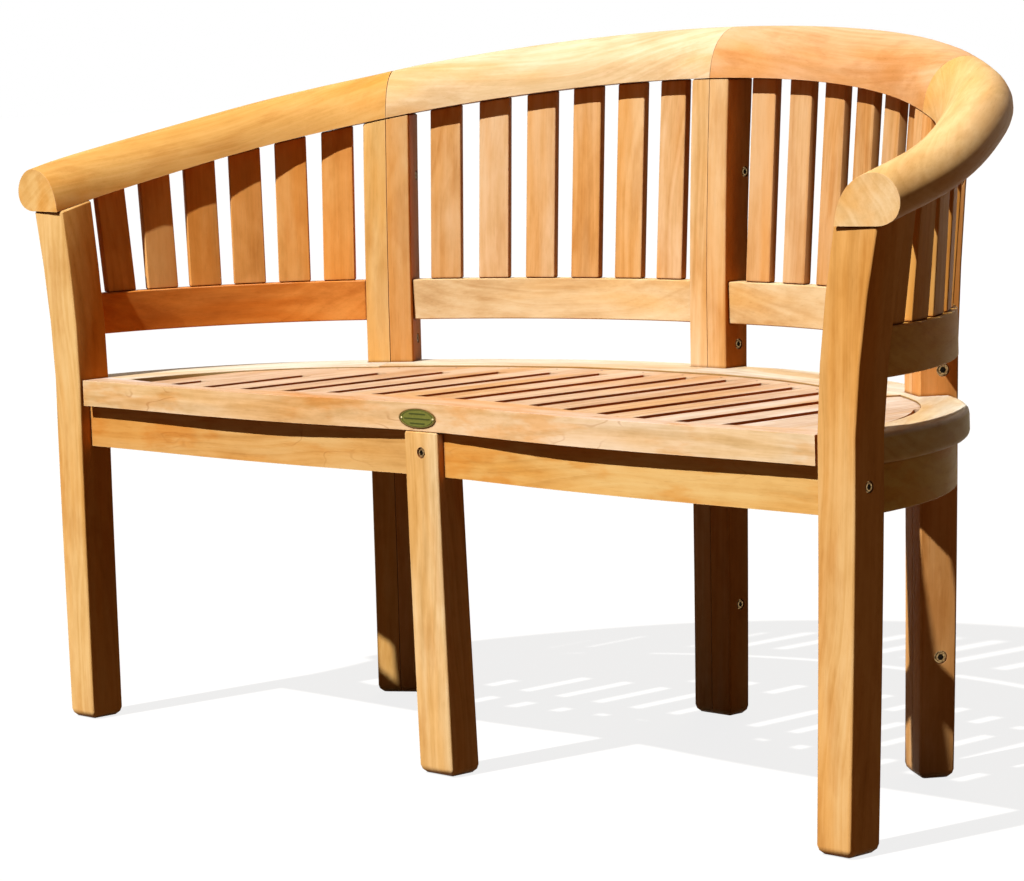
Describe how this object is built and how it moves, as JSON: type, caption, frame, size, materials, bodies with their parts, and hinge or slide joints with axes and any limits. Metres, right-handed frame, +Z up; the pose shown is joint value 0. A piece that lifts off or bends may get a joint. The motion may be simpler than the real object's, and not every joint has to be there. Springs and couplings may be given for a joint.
{
  "type": "curved garden bench",
  "caption": "Curved wooden garden bench with a slatted back sweeping round into arms, scroll top rail, lobed slatted seat, paired back posts and a middle front leg.",
  "frame": {"origin": "on the floor under the middle of the bench's bounding box", "axes": "+X to the right when facing the bench from the front, +Y from the front edge of the seat towards the back, +Z up"},
  "size_m": [1.4994, 0.6189, 0.865],
  "materials": {
    "post_teak": "oiled, smooth sanded, lightly weathered",
    "rail_teak": "oiled, smooth sanded, lightly weathered",
    "slat_teak": "oiled, smooth sanded, lightly weathered",
    "seat_teak": "oiled, smooth sanded, lightly weathered",
    "under_teak": "oiled, smooth sanded, lightly weathered"
  },
  "bodies": {
    "root": {"apron_front_left": "under_teak", "apron_front_right": "under_teak", "apron_left_arm": "under_teak", "apron_left_back": "under_teak", "apron_right_arm": "under_teak", "apron_right_back": "under_teak", "arm_post_left": "post_teak", "arm_post_right": "post_teak", "back_post_left_inner": "post_teak", "back_post_left_outer": "post_teak", "back_post_right_inner": "post_teak", "back_post_right_outer": "post_teak", "back_slat_left_arm_1": "slat_teak", "back_slat_left_arm_2": "slat_teak", "back_slat_left_arm_3": "slat_teak", "back_slat_left_arm_4": "slat_teak", "back_slat_left_arm_5": "slat_teak", "back_slat_left_arm_6": "slat_teak", "back_slat_left_back_1": "slat_teak", "back_slat_left_back_2": "slat_teak", "back_slat_left_back_3": "slat_teak", "back_slat_left_back_4": "slat_teak", "back_slat_left_back_5": "slat_teak", "back_slat_left_back_6": "slat_teak", "back_slat_right_arm_1": "slat_teak", "back_slat_right_arm_2": "slat_teak", "back_slat_right_arm_3": "slat_teak", "back_slat_right_arm_4": "slat_teak", "back_slat_right_arm_5": "slat_teak", "back_slat_right_arm_6": "slat_teak", "back_slat_right_back_1": "slat_teak", "back_slat_right_back_2": "slat_teak", "back_slat_right_back_3": "slat_teak", "back_slat_right_back_4": "slat_teak", "back_slat_right_back_5": "slat_teak", "back_slat_right_back_6": "slat_teak", "centre_post_left": "post_teak", "centre_post_right": "post_teak", "front_leg_centre": "post_teak", "lower_rail_left_arm": "rail_teak", "lower_rail_left_back": "rail_teak", "lower_rail_right_arm": "rail_teak", "lower_rail_right_back": "rail_teak", "seat_batten_back": "under_teak", "seat_batten_front": "under_teak", "seat_front_board": "seat_teak", "seat_rim_left_arm": "seat_teak", "seat_rim_left_back": "seat_teak", "seat_rim_right_arm": "seat_teak", "seat_rim_right_back": "seat_teak", "seat_slat_panel": "seat_teak", "seat_stretcher": "under_teak", "top_rail_left_arm": "rail_teak", "top_rail_left_back": "rail_teak", "top_rail_right_arm": "rail_teak", "top_rail_right_back": "rail_teak"}
  },
  "joints": []
}
